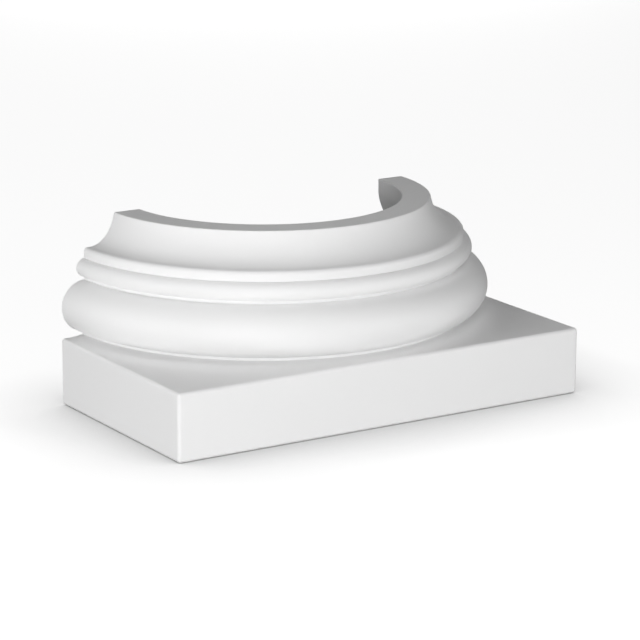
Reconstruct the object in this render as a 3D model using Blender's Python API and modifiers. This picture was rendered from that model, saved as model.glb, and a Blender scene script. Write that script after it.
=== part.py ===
# Half column base: a square plinth and turned mouldings, modelled whole and sawn in half at the wall.
# Metres, +Z up. The front faces -Y and the sawn face lies against a wall at +Y.
# The origin is on the floor, in the middle of the plinth's footprint.

import math

import bpy
from mathutils import Vector

# Plinth
plinth_width = 0.400
plinth_height = 0.0586
plinth_edge_rounding = 0.003
edge_segments = 3

# Heights of the mouldings, from the plinth up
lower_neck_height = 0.0040
torus_height = 0.0454
upper_neck_height = 0.0026
bead_height = 0.0162
fillet_height = 0.0090
cove_height = 0.0275

# How far the mouldings stand out or step in
torus_setback = 0.0002      # from the plinth's faces in to the torus
torus_projection = 0.0220   # from the plain bands out to the torus
bead_projection = 0.0074    # from the plain bands out to the bead
lower_neck_step = 0.0024    # from the plain bands out to the lower neck
ledge_width = 0.0053        # flat step from the fillet in to the cove
cove_depth = 0.0243         # from the ledge in to the rim
cove_overrun = 0.0087       # height of the cove's oval centre above the rim
rim_edge_rounding = 0.0010  # both edges of the rim
nosing_rounding = 0.0035    # the fillet's top corner

# Skirt that sweeps from the plinth's top up to the lower neck
skirt_setback = 0.0040      # from the plinth's faces in to the skirt
skirt_rise = 0.0016
skirt_overrun = 0.0500      # height of the skirt's oval centre above its top

# Hollow behind the mouldings
rim_wall = 0.0254           # wall at the rim
body_wall = 0.0318          # wall behind the plain bands
throat_height = 0.0093      # straight wall under the rim
flare_height = 0.0620       # height over which the hollow widens

# Facets
turn_steps = 96
chord_error = 0.00005
leg_share = 0.9             # most of a corner's leg that its rounding may take
cutter_margin = 0.02

# Worked out from the sizes above
half_depth = plinth_width / 2
wall_y = half_depth / 2
torus_low = plinth_height + lower_neck_height
torus_high = torus_low + torus_height
bead_low = torus_high + upper_neck_height
bead_high = bead_low + bead_height
ledge_level = bead_high + fillet_height
rim_level = ledge_level + cove_height
band_radius = half_depth - torus_setback - torus_projection
cove_radius = band_radius - ledge_width
rim_radius = cove_radius - cove_depth
lower_neck_radius = band_radius + lower_neck_step
skirt_radius = half_depth - skirt_setback
throat_radius = rim_radius - rim_wall
hollow_radius = band_radius - body_wall


# Chords that keep a round stretch within the chord error.
def chord_count(radius, angle):
    step = 2 * math.acos(1 - chord_error / radius)
    return max(2, math.ceil(angle / step))


# Points down a round moulding that stands out from the band between two heights, to end at the foot radius.
def bulge(low, high, projection, foot_radius):
    half_height = (high - low) / 2
    section_radius = (half_height ** 2 + projection ** 2) / (2 * projection)
    centre = band_radius + projection - section_radius
    start = math.atan2(half_height, band_radius - centre)
    end = -math.acos((foot_radius - centre) / section_radius)
    count = chord_count(section_radius, start - end)
    angles = [start + (end - start) * i / count for i in range(count + 1)]
    middle = (low + high) / 2
    return [(centre + section_radius * math.cos(a), middle + section_radius * math.sin(a)) for a in angles]


# Points down a hollow sweep: part of an oval, level at its foot, centred the overrun above its top.
def sweep(foot_radius, low, top_radius, high, overrun):
    oval_height = high - low + overrun
    reach = math.acos(overrun / oval_height)
    oval_width = (foot_radius - top_radius) / math.sin(reach)
    count = chord_count(oval_height, reach)
    angles = [reach * (1 - i / count) for i in range(count + 1)]
    return [(foot_radius - oval_width * math.sin(a), low + oval_height * (1 - math.cos(a))) for a in angles]


# Points down the hollow's flare: a smooth swing between two radii.
def flare(top_radius, high, foot_radius, low):
    count = chord_count(high - low, math.pi / 2)
    points = []
    for i in range(count + 1):
        share = i / count
        swing = (1 - math.cos(math.pi * share)) / 2
        points.append((top_radius + (foot_radius - top_radius) * swing, high + (low - high) * share))
    return points


# An arc in place of a corner, touching both of its legs.
def rounded_corner(before, corner, after, rounding):
    corner = Vector(corner)
    leg_in = Vector(before) - corner
    leg_out = Vector(after) - corner
    half_angle = leg_in.angle(leg_out) / 2
    longest_reach = min(leg_in.length, leg_out.length) * leg_share
    reach = min(rounding / math.tan(half_angle), longest_reach)
    radius = reach * math.tan(half_angle)
    leg_in.normalize()
    leg_out.normalize()
    centre = corner + (leg_in + leg_out).normalized() * (radius / math.sin(half_angle))
    start = (corner + leg_in * reach - centre).normalized()
    end = (corner + leg_out * reach - centre).normalized()
    count = chord_count(radius, math.pi - 2 * half_angle)
    return [tuple(centre + start.slerp(end, i / count) * radius) for i in range(count + 1)]


# Outline of the mouldings, from the axis at the rim down to inside the plinth.
def moulding_outline():
    cove_points = sweep(cove_radius, ledge_level, rim_radius, rim_level, cove_overrun)
    rim_corner = cove_points[0]
    fillet_top = (band_radius, ledge_level)
    fillet_foot = (band_radius, bead_high)
    bead_points = bulge(bead_low, bead_high, bead_projection, band_radius)
    torus_points = bulge(torus_low, torus_high, torus_projection, lower_neck_radius)
    skirt_top = plinth_height + skirt_rise
    skirt_points = sweep(skirt_radius, plinth_height, lower_neck_radius, skirt_top, skirt_overrun)
    root_level = plinth_height / 2
    points = [(0, rim_level)]
    points += rounded_corner((throat_radius, rim_level), rim_corner, cove_points[1], rim_edge_rounding)
    points += cove_points[1:]
    points += rounded_corner(cove_points[-1], fillet_top, fillet_foot, nosing_rounding)
    points += bead_points
    points += torus_points
    points += skirt_points
    points += [(skirt_radius, root_level), (0, root_level)]
    return points


# Outline of the hollow, from above the rim down past the underside.
def hollow_outline():
    above = rim_level + cutter_margin
    below = -cutter_margin
    mouth_radius = throat_radius + rim_edge_rounding
    throat_level = rim_level - throat_height
    points = [(0, above), (mouth_radius, above)]
    count = chord_count(rim_edge_rounding, math.pi / 2)
    for i in range(count + 1):
        angle = math.pi / 2 * (1 + i / count)
        across = rim_edge_rounding * math.cos(angle)
        down = rim_edge_rounding * (1 - math.sin(angle))
        points.append((mouth_radius + across, rim_level - down))
    points += flare(throat_radius, throat_level, hollow_radius, throat_level - flare_height)
    points += [(hollow_radius, below), (0, below)]
    return points


# A solid turned about the column's axis, which stands on the wall plane.
def turned_solid(name, outline, collection):
    mesh = bpy.data.meshes.new(name)
    corners = [(radius, 0, height) for radius, height in outline]
    mesh.from_pydata(corners, [(i, i + 1) for i in range(len(corners) - 1)], [])
    solid = bpy.data.objects.new(name, mesh)
    solid.location = (0, wall_y, 0)
    collection.objects.link(solid)
    screw = solid.modifiers.new("turn", "SCREW")
    screw.angle = math.tau
    screw.steps = turn_steps
    screw.render_steps = turn_steps
    screw.use_merge_vertices = True
    screw.merge_threshold = 0.00001
    return solid


# A box given by its middle and its sizes, with the scale applied.
def box(name, middle, sizes, collection):
    bpy.ops.mesh.primitive_cube_add(size=1, location=middle)
    solid = bpy.context.object
    solid.name = name
    solid.data.name = name
    solid.scale = sizes
    bpy.ops.object.transform_apply(location=False, rotation=False, scale=True)
    for holder in list(solid.users_collection):
        holder.objects.unlink(solid)
    collection.objects.link(solid)
    return solid


# The whole square plinth with its edges eased.
def make_plinth(collection):
    sizes = (plinth_width, plinth_width, plinth_height)
    plinth = box("half_column_base", (0, wall_y, plinth_height / 2), sizes, collection)
    easing = plinth.modifiers.new("eased_edges", "BEVEL")
    easing.width = plinth_edge_rounding
    easing.segments = edge_segments
    return plinth


# The half-space behind the wall plane, clear of the whole base.
def make_wall_side(collection):
    width = plinth_width + 2 * cutter_margin
    height = rim_level + 2 * cutter_margin
    middle = (0, wall_y + width / 2, rim_level / 2)
    return box("wall_side", middle, (width, width, height), collection)


# Joins or cuts a solid by another one, which stays as a guide.
def combine(solid, tool, operation):
    tool.hide_render = True
    tool.display_type = "WIRE"
    step = solid.modifiers.new(tool.name, "BOOLEAN")
    step.operation = operation
    step.solver = "EXACT"
    step.object = tool


# Keeps the evaluated mesh, smooth over the turned faces and sharp at real edges.
def settle(solid):
    evaluated = solid.evaluated_get(bpy.context.evaluated_depsgraph_get())
    mesh = bpy.data.meshes.new_from_object(evaluated)
    mesh.name = solid.name
    solid.modifiers.clear()
    solid.data = mesh
    mesh.shade_smooth()
    mesh.set_sharp_from_angle(angle=math.radians(30))


# Smooth matt white of a primed casting.
def white_finish():
    material = bpy.data.materials.new("primed_white")
    material.use_nodes = True
    shader = material.node_tree.nodes["Principled BSDF"]
    shader.inputs["Base Color"].default_value = (0.86, 0.86, 0.86, 1)
    shader.inputs["Roughness"].default_value = 0.55
    shader.inputs["Metallic"].default_value = 0
    return material


def new_collection(name):
    collection = bpy.data.collections.new(name)
    bpy.context.scene.collection.children.link(collection)
    return collection


def main():
    for old in list(bpy.data.objects):
        bpy.data.objects.remove(old, do_unlink=True)
    parts = new_collection("half_column_base")
    cutters = new_collection("half_column_base_cutters")
    base = make_plinth(parts)
    combine(base, turned_solid("mouldings", moulding_outline(), cutters), "UNION")
    combine(base, make_wall_side(cutters), "DIFFERENCE")
    combine(base, turned_solid("hollow", hollow_outline(), cutters), "DIFFERENCE")
    settle(base)
    base.data.materials.clear()
    base.data.materials.append(white_finish())


main()
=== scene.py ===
import math

import bmesh
import bpy
from mathutils import Matrix, Vector


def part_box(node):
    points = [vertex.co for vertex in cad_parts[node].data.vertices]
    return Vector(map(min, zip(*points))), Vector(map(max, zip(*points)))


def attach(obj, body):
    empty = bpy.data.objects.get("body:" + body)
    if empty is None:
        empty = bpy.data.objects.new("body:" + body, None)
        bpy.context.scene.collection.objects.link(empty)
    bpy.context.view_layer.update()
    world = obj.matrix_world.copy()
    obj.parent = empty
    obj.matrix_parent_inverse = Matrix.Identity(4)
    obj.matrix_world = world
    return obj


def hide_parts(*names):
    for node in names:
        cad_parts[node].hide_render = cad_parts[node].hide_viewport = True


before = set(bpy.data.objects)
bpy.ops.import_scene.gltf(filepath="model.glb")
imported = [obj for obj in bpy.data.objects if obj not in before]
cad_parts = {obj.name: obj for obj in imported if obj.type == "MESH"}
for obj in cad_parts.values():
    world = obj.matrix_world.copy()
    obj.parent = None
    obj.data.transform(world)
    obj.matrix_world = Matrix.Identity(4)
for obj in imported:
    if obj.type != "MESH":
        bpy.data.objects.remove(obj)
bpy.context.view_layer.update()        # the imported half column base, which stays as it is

# A half column base in matt white: a square plinth with turned mouldings, sawn flat where it meets the wall.
# Metres, +Z up, front towards -Y. The column's axis stands in the wall plane, at x 0.

cadLow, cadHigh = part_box("half_column_base")
plinthWidth = cadHigh.x - cadLow.x
wallY = cadHigh.y
rimLevel = cadHigh.z
halfWidth = plinthWidth / 2

# Sizes of the base; the heights run from the plinth up and leave the cove what is left below the rim.
baseSizes = {
    "plinthHeight": 0.0586,
    "plinthEdge": 0.003,          # easing of the plinth's edges
    "lowerNeck": 0.0040,
    "torus": 0.0454,
    "upperNeck": 0.0026,
    "bead": 0.0162,
    "fillet": 0.0090,
    "torusSetback": 0.0002,       # from the plinth's faces in to the torus
    "torusProjection": 0.0220,    # from the plain bands out to the torus
    "beadProjection": 0.0074,     # from the plain bands out to the bead
    "lowerNeckStep": 0.0024,      # from the plain bands out to the lower neck
    "ledge": 0.0053,              # flat step from the fillet in to the cove
    "coveDepth": 0.0243,
    "coveOverrun": 0.0087,        # height of the cove's oval centre above the rim
    "rimEdge": 0.0010,            # easing of both edges of the rim
    "nosing": 0.0035,             # easing of the fillet's top corner
    "skirtSetback": 0.0040,       # from the plinth's faces in to the skirt under the lower neck
    "skirtRise": 0.0016,
    "skirtOverrun": 0.0500,       # height of the skirt's oval centre above its top
    "rimWall": 0.0254,
    "bodyWall": 0.0318,
    "throat": 0.0093,             # straight wall under the rim
    "flare": 0.0620,              # height over which the hollow widens
    "turnSteps": 256,
    "arcStep": 3.0,               # degrees of a round moulding per facet
    "edgeFacets": 4,              # facets round an eased edge
    "sawClearance": 0.02,         # how far the tools reach past what they cut
    "sawSlack": 0.0000001,        # distance within which a point counts as lying on the saw's plane
    "weldDistance": 0.000002,     # points nearer than this become one
    "flatSlack": 0.00001,         # distance within which a face counts as lying in the wall or floor plane
    "sharpAngle": 32.0,           # degrees between faces from which an edge stays sharp
    "shadingWeight": 100,         # how far the larger faces lead the shading, up to 100
}


# Points down a round moulding that stands out from the band between two heights, to end at the foot radius.
def bulgePoints(band, low, high, projection, footRadius):
    halfHeight = (high - low) / 2
    sectionRadius = (halfHeight ** 2 + projection ** 2) / (2 * projection)
    centre = band + projection - sectionRadius
    start = math.atan2(halfHeight, band - centre)
    end = -math.acos((footRadius - centre) / sectionRadius)
    count = math.ceil(math.degrees(start - end) / baseSizes["arcStep"])
    turns = [start + (end - start) * i / count for i in range(count + 1)]
    middle = (low + high) / 2
    return [(centre + sectionRadius * math.cos(t), middle + sectionRadius * math.sin(t)) for t in turns]


# Points down a hollow sweep: part of an oval, level at its foot, centred the overrun above its top.
def sweepPoints(footRadius, low, topRadius, high, overrun):
    ovalHeight = high - low + overrun
    reach = math.acos(overrun / ovalHeight)
    ovalWidth = (footRadius - topRadius) / math.sin(reach)
    count = math.ceil(math.degrees(reach) / baseSizes["arcStep"])
    turns = [reach * (1 - i / count) for i in range(count + 1)]
    return [(footRadius - ovalWidth * math.sin(t), low + ovalHeight * (1 - math.cos(t))) for t in turns]


# Points down the hollow's flare, which swings smoothly from the throat to the wide part.
def flarePoints(topRadius, high, footRadius, low):
    count = math.ceil(90 / baseSizes["arcStep"])
    shares = [i / count for i in range(count + 1)]
    widths = [topRadius + (footRadius - topRadius) * (1 - math.cos(math.pi * share)) / 2 for share in shares]
    heights = [high + (low - high) * share for share in shares]
    return list(zip(widths, heights))


# Turns an outline of (radius, height) points about the column's axis, with rounds at the corners to be eased.
def turnOutline(outline, easings):
    bm = bmesh.new()
    verts = [bm.verts.new((radius, wallY, height)) for radius, height in outline]
    for pair in zip(verts, verts[1:]):
        bm.edges.new(pair)
    for corner, easing in easings.items():
        bmesh.ops.bevel(bm, geom=[verts[corner]], offset=easing, segments=baseSizes["edgeFacets"],
                        profile=0.5, affect="VERTICES", material=-1)
    bmesh.ops.spin(bm, geom=bm.verts[:] + bm.edges[:], cent=(0, wallY, 0), axis=(0, 0, 1),
                   angle=math.tau, steps=baseSizes["turnSteps"], use_merge=True)
    bmesh.ops.remove_doubles(bm, verts=bm.verts[:], dist=baseSizes["weldDistance"])
    bmesh.ops.recalc_face_normals(bm, faces=bm.faces[:])
    return bm


# Saws off what lies beyond a plane that is parallel to the wall, and closes the cut.
def sawBehind(bm, y):
    everything = bm.verts[:] + bm.edges[:] + bm.faces[:]
    cut = bmesh.ops.bisect_plane(bm, geom=everything, dist=baseSizes["sawSlack"], plane_co=(0, y, 0),
                                 plane_no=(0, 1, 0), clear_outer=True)
    rim = [e for e in cut["geom_cut"] if isinstance(e, bmesh.types.BMEdge)]
    bmesh.ops.holes_fill(bm, edges=rim, sides=0)


# Heights and radii that the mouldings and the hollow share.
def baseLevels():
    s = baseSizes
    band = halfWidth - s["torusSetback"] - s["torusProjection"]
    cove = band - s["ledge"]
    rim = cove - s["coveDepth"]
    torusLow = s["plinthHeight"] + s["lowerNeck"]
    torusHigh = torusLow + s["torus"]
    beadLow = torusHigh + s["upperNeck"]
    beadHigh = beadLow + s["bead"]
    return {
        "band": band, "cove": cove, "rim": rim, "throat": rim - s["rimWall"], "hollow": band - s["bodyWall"],
        "lowerNeck": band + s["lowerNeckStep"], "skirt": halfWidth - s["skirtSetback"],
        "torusLow": torusLow, "torusHigh": torusHigh, "beadLow": beadLow, "beadHigh": beadHigh,
        "ledge": beadHigh + s["fillet"],
    }


def makeMouldings(at):
    s = baseSizes
    outline = [(0, rimLevel)]
    outline += sweepPoints(at["cove"], at["ledge"], at["rim"], rimLevel, s["coveOverrun"])
    filletTop = len(outline)
    outline += [(at["band"], at["ledge"])]
    outline += bulgePoints(at["band"], at["beadLow"], at["beadHigh"], s["beadProjection"], at["band"])
    outline += bulgePoints(at["band"], at["torusLow"], at["torusHigh"], s["torusProjection"], at["lowerNeck"])
    skirtTop = s["plinthHeight"] + s["skirtRise"]
    outline += sweepPoints(at["skirt"], s["plinthHeight"], at["lowerNeck"], skirtTop, s["skirtOverrun"])
    root = s["plinthHeight"] / 2
    outline += [(at["skirt"], root), (0, root)]
    return turnOutline(outline, {1: s["rimEdge"], filletTop: s["nosing"]})


def makePlinth():
    height = baseSizes["plinthHeight"]
    bm = bmesh.new()
    bmesh.ops.create_cube(bm, size=1)
    bmesh.ops.scale(bm, verts=bm.verts[:], vec=(plinthWidth, plinthWidth, height))
    bmesh.ops.translate(bm, verts=bm.verts[:], vec=(0, wallY, height / 2))
    bmesh.ops.bevel(bm, geom=bm.edges[:], offset=baseSizes["plinthEdge"], segments=baseSizes["edgeFacets"],
                    profile=0.5, affect="EDGES", material=-1)
    return bm


# The space behind the mouldings, with its mouth eased by a quarter round.
def makeHollow(at):
    clear = baseSizes["sawClearance"]
    edge = baseSizes["rimEdge"]
    mouth = at["throat"] + edge
    turns = [math.pi / 2 * i / baseSizes["edgeFacets"] for i in range(baseSizes["edgeFacets"] + 1)]
    outline = [(0, rimLevel + clear), (mouth, rimLevel + clear)]
    outline += [(mouth - edge * math.sin(t), rimLevel - edge * (1 - math.cos(t))) for t in turns]
    throatFoot = rimLevel - baseSizes["throat"]
    outline += flarePoints(at["throat"], throatFoot, at["hollow"], throatFoot - baseSizes["flare"])
    outline += [(at["hollow"], -clear), (0, -clear)]
    return turnOutline(outline, {})


def meshObject(name, bm):
    mesh = bpy.data.meshes.new(name)
    bm.to_mesh(mesh)
    bm.free()
    obj = bpy.data.objects.new(name, mesh)
    bpy.context.scene.collection.objects.link(obj)
    return obj


# Joins the mouldings to the plinth, takes out the hollow and gives the result as one mesh.
def joinAndHollow(plinth, mouldings, hollow):
    for tool, operation in ((mouldings, "UNION"), (hollow, "DIFFERENCE")):
        step = plinth.modifiers.new(tool.name, "BOOLEAN")
        step.operation = operation
        step.object = tool
        step.solver = "EXACT"
    evaluated = plinth.evaluated_get(bpy.context.evaluated_depsgraph_get())
    bm = bmesh.new()
    bm.from_mesh(evaluated.to_mesh())
    evaluated.to_mesh_clear()
    for obj in (plinth, mouldings, hollow):
        bpy.data.meshes.remove(obj.data)
    return bm


# Gives the second material to what stays bare: the sawn back, the underside and the hollow. That material's
# darker colour is partly painted shade for the hollow.
def markBareShadedFaces(bm):
    slack = baseSizes["flatSlack"]
    for face in bm.faces:
        centre = face.calc_center_median()
        fromAxis = Vector((centre.x, centre.y - wallY, 0))
        flat = wallY - centre.y < slack or centre.z < slack
        inTheHollow = face.normal.dot(fromAxis) < -slack
        face.material_index = 1 if flat or inTheHollow else 0


def makeBase():
    at = baseLevels()
    mouldings = makeMouldings(at)
    plinth = makePlinth()
    for bm in (mouldings, plinth):
        sawBehind(bm, wallY + baseSizes["sawClearance"])
    bm = joinAndHollow(meshObject("plinthBlock", plinth), meshObject("turnedMouldings", mouldings),
                       meshObject("hollowCore", makeHollow(at)))
    sawBehind(bm, wallY)
    bmesh.ops.remove_doubles(bm, verts=bm.verts[:], dist=baseSizes["weldDistance"])
    bmesh.ops.dissolve_degenerate(bm, edges=bm.edges[:], dist=baseSizes["weldDistance"])
    markBareShadedFaces(bm)
    base = meshObject("halfColumnBase", bm)
    base.data.shade_smooth()
    base.data.set_sharp_from_angle(angle=math.radians(baseSizes["sharpAngle"]))
    weighted = base.modifiers.new("evenShading", "WEIGHTED_NORMAL")
    weighted.keep_sharp = True
    weighted.weight = baseSizes["shadingWeight"]
    return base


# Finish of the casting: smooth matt white primer outside, and a rougher white where it is bare, made darker
# as painted shade for the hollow.
primerLook = {
    "brightest": (0.928, 0.928, 0.928, 1),
    "dullest": (0.912, 0.912, 0.912, 1),
    "cloudSize": 14.0,            # soft clouds per metre
    "grainSize": 900.0,           # grain per metre
    "grainHeight": 0.00004,
    "smoothest": 0.50,
    "roughest": 0.60,
}
# The bare white's darker tone is painted shade, so the hollow reads dark. Its coarser grain and roughness are
# the bare casting's own.
bareShadedLook = {
    "brightest": (0.79, 0.79, 0.79, 1),
    "dullest": (0.77, 0.77, 0.77, 1),
    "cloudSize": 14.0,
    "grainSize": 420.0,
    "grainHeight": 0.00012,
    "smoothest": 0.62,
    "roughest": 0.74,
}
grainPattern = {
    "cloudDetail": 3.0,
    "stippleDetail": 2.0,
    "stippleShare": 0.35,         # of the stipple in tone and roughness, against the clouds
}


# Primer grain: cloudy tone, a fine stipple and a roughness that follows them.
def makePrimerGroup():
    group = bpy.data.node_groups.new("primerGrain", "ShaderNodeTree")
    for name, kind in (("Position", "NodeSocketVector"), ("Cloud Scale", "NodeSocketFloat"),
                       ("Grain Scale", "NodeSocketFloat"), ("Dull", "NodeSocketColor"),
                       ("Bright", "NodeSocketColor"), ("Smooth", "NodeSocketFloat"),
                       ("Rough", "NodeSocketFloat")):
        group.interface.new_socket(name=name, in_out="INPUT", socket_type=kind)
    for name, kind in (("Color", "NodeSocketColor"), ("Roughness", "NodeSocketFloat"),
                       ("Height", "NodeSocketFloat")):
        group.interface.new_socket(name=name, in_out="OUTPUT", socket_type=kind)
    nodes, links = group.nodes, group.links
    given = nodes.new("NodeGroupInput")
    result = nodes.new("NodeGroupOutput")

    clouds = nodes.new("ShaderNodeTexNoise")
    clouds.inputs["Detail"].default_value = grainPattern["cloudDetail"]
    links.new(given.outputs["Position"], clouds.inputs["Vector"])
    links.new(given.outputs["Cloud Scale"], clouds.inputs["Scale"])

    grain = nodes.new("ShaderNodeTexNoise")
    grain.inputs["Detail"].default_value = grainPattern["stippleDetail"]
    links.new(given.outputs["Position"], grain.inputs["Vector"])
    links.new(given.outputs["Grain Scale"], grain.inputs["Scale"])

    blend = nodes.new("ShaderNodeMix")
    blend.inputs["Factor"].default_value = grainPattern["stippleShare"]
    links.new(clouds.outputs["Fac"], blend.inputs["A"])
    links.new(grain.outputs["Fac"], blend.inputs["B"])

    tone = nodes.new("ShaderNodeMix")
    tone.data_type = "RGBA"
    links.new(blend.outputs["Result"], tone.inputs["Factor"])
    links.new(given.outputs["Dull"], tone.inputs["A"])
    links.new(given.outputs["Bright"], tone.inputs["B"])

    sheen = nodes.new("ShaderNodeMix")
    links.new(blend.outputs["Result"], sheen.inputs["Factor"])
    links.new(given.outputs["Smooth"], sheen.inputs["A"])
    links.new(given.outputs["Rough"], sheen.inputs["B"])

    links.new(tone.outputs["Result"], result.inputs["Color"])
    links.new(sheen.outputs["Result"], result.inputs["Roughness"])
    links.new(grain.outputs["Fac"], result.inputs["Height"])
    return group


def makePrimer(name, look, group):
    material = bpy.data.materials.new(name)
    material.use_nodes = True
    nodes, links = material.node_tree.nodes, material.node_tree.links
    shader = nodes["Principled BSDF"]
    place = nodes.new("ShaderNodeTexCoord")
    grain = nodes.new("ShaderNodeGroup")
    grain.node_tree = group
    for socket, key in (("Cloud Scale", "cloudSize"), ("Grain Scale", "grainSize"), ("Dull", "dullest"),
                        ("Bright", "brightest"), ("Smooth", "smoothest"), ("Rough", "roughest")):
        grain.inputs[socket].default_value = look[key]
    links.new(place.outputs["Object"], grain.inputs["Position"])
    stipple = nodes.new("ShaderNodeBump")
    stipple.inputs["Distance"].default_value = look["grainHeight"]
    links.new(grain.outputs["Height"], stipple.inputs["Height"])
    links.new(grain.outputs["Color"], shader.inputs["Base Color"])
    links.new(grain.outputs["Roughness"], shader.inputs["Roughness"])
    links.new(stipple.outputs["Normal"], shader.inputs["Normal"])
    return material


# Plain studio: a pale floor and soft round lights about the base. Only the camera sees the floor and the
# surround, so they don't wash out the mouldings and the low lights reach the base from under the floor.
studio = {
    "floorWidth": 40.0,
    "floorDrop": 0.0002,          # from the underside of the base down to the floor
    "floorColour": (0.25, 0.25, 0.25, 1),
    "floorRoughness": 0.9,
    "floorGlow": 0.88,
    "contactReach": 0.11,         # how far the soft shade at the foot of the base spreads
    "surroundSeen": 0.96,         # brightness of the surround behind the floor
    "surroundLight": 0.0,         # light that it gives
    "near": (1.1, 0.6),           # distance and width of the lights that stand near the base
    "far": (3.0, 1.6),            # the same of those that stand further off
    "lights": {                   # near or far, azimuth (0 in front, + to the right), elevation, watts
        "keyLight": ("near", -30, 8, 3.45),
        "topLight": ("near", 0, 50, 2.14),
        "leftLight": ("near", -90, 8, 2.41),
        "lowLeftLight": ("near", -90, -8, 2.10),
        "frontLeftFill": ("far", -60, -8, 5.8),
        "rightFill": ("far", 30, 8, 24.9),
        "frontBounce": ("far", -30, -25, 15.9),
        "floorBounce": ("far", 30, -50, 16.0),
        "highLeftLight": ("far", -120, 50, 14.4),
        "highBackLight": ("far", -150, 50, 4.7),
        "highRightLight": ("far", 60, 50, 3.4),
        "backFill": ("far", 150, -8, 30.0),
    },
}
cameraView = {
    "azimuth": -32.5453,          # degrees; minus is to the left of the front
    "elevation": 14.6045,
    "roll": 0.3499,
    "distance": 2.573,
    "aim": (0.0498, 0.0822, 0.0454),
    "lens": 161.66,               # millimetres
    "sensor": 36.0,
}


# Puts a light or the camera on an azimuth and an elevation about a point, turned to face it.
def placeAround(obj, aim, distance, azimuth, elevation, roll=0):
    swing = Matrix.Rotation(math.radians(azimuth), 4, "Z")
    tilt = Matrix.Rotation(math.radians(90 - elevation), 4, "X")
    twist = Matrix.Rotation(math.radians(roll), 4, "Z")
    back = Matrix.Translation((0, 0, distance))
    obj.matrix_world = Matrix.Translation(Vector(aim)) @ swing @ tilt @ twist @ back
    bpy.context.scene.collection.objects.link(obj)


def makeFloor():
    half = studio["floorWidth"] / 2
    bm = bmesh.new()
    bmesh.ops.create_grid(bm, x_segments=1, y_segments=1, size=half)
    bmesh.ops.translate(bm, verts=bm.verts[:], vec=(0, 0, -studio["floorDrop"]))
    floor = meshObject("studioFloor", bm)
    material = bpy.data.materials.new("paleFloor")
    material.use_nodes = True
    nodes, links = material.node_tree.nodes, material.node_tree.links
    shader = nodes["Principled BSDF"]
    shader.inputs["Base Color"].default_value = studio["floorColour"]
    shader.inputs["Roughness"].default_value = studio["floorRoughness"]
    shader.inputs["Emission Strength"].default_value = studio["floorGlow"]
    contact = nodes.new("ShaderNodeAmbientOcclusion")
    contact.inputs["Distance"].default_value = studio["contactReach"]
    links.new(contact.outputs["Color"], shader.inputs["Emission Color"])
    floor.data.materials.append(material)
    floor.visible_diffuse = False
    floor.visible_glossy = False
    floor.visible_shadow = False
    return floor


def makeLight(name, place, azimuth, elevation, watts):
    distance, width = studio[place]
    lamp = bpy.data.lights.new(name, "AREA")
    lamp.shape = "DISK"
    lamp.size = width
    lamp.energy = watts
    light = bpy.data.objects.new(name, lamp)
    light.visible_camera = False
    placeAround(light, (0, 0, rimLevel / 2), distance, azimuth, elevation)
    return light


def makeSurround():
    world = bpy.data.worlds.new("softSurround")
    world.use_nodes = True
    nodes, links = world.node_tree.nodes, world.node_tree.links
    background = nodes["Background"]
    background.inputs["Color"].default_value = (1, 1, 1, 1)
    strength = nodes.new("ShaderNodeMix")
    strength.inputs["A"].default_value = studio["surroundLight"]
    strength.inputs["B"].default_value = studio["surroundSeen"]
    links.new(nodes.new("ShaderNodeLightPath").outputs["Is Camera Ray"], strength.inputs["Factor"])
    links.new(strength.outputs["Result"], background.inputs["Strength"])
    bpy.context.scene.world = world


def makeCamera():
    view = cameraView
    lens = bpy.data.cameras.new("photoView")
    lens.lens = view["lens"]
    lens.sensor_width = view["sensor"]
    camera = bpy.data.objects.new("photoView", lens)
    placeAround(camera, view["aim"], view["distance"], view["azimuth"], view["elevation"], view["roll"])
    bpy.context.scene.camera = camera


base = makeBase()
print("base:", len(base.data.polygons), "faces")

primerGroup = makePrimerGroup()
base.data.materials.append(makePrimer("primedWhite", primerLook, primerGroup))
base.data.materials.append(makePrimer("bareWhitePaintedShade", bareShadedLook, primerGroup))
print("finish: primed white outside, rougher where it was sawn")

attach(base, "root")
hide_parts("half_column_base")

makeFloor()
makeSurround()
for lightName, settings in studio["lights"].items():
    makeLight(lightName, *settings)
makeCamera()
bpy.context.scene.view_settings.view_transform = "Standard"
print("studio: floor, surround,", len(studio["lights"]), "lights and the camera")
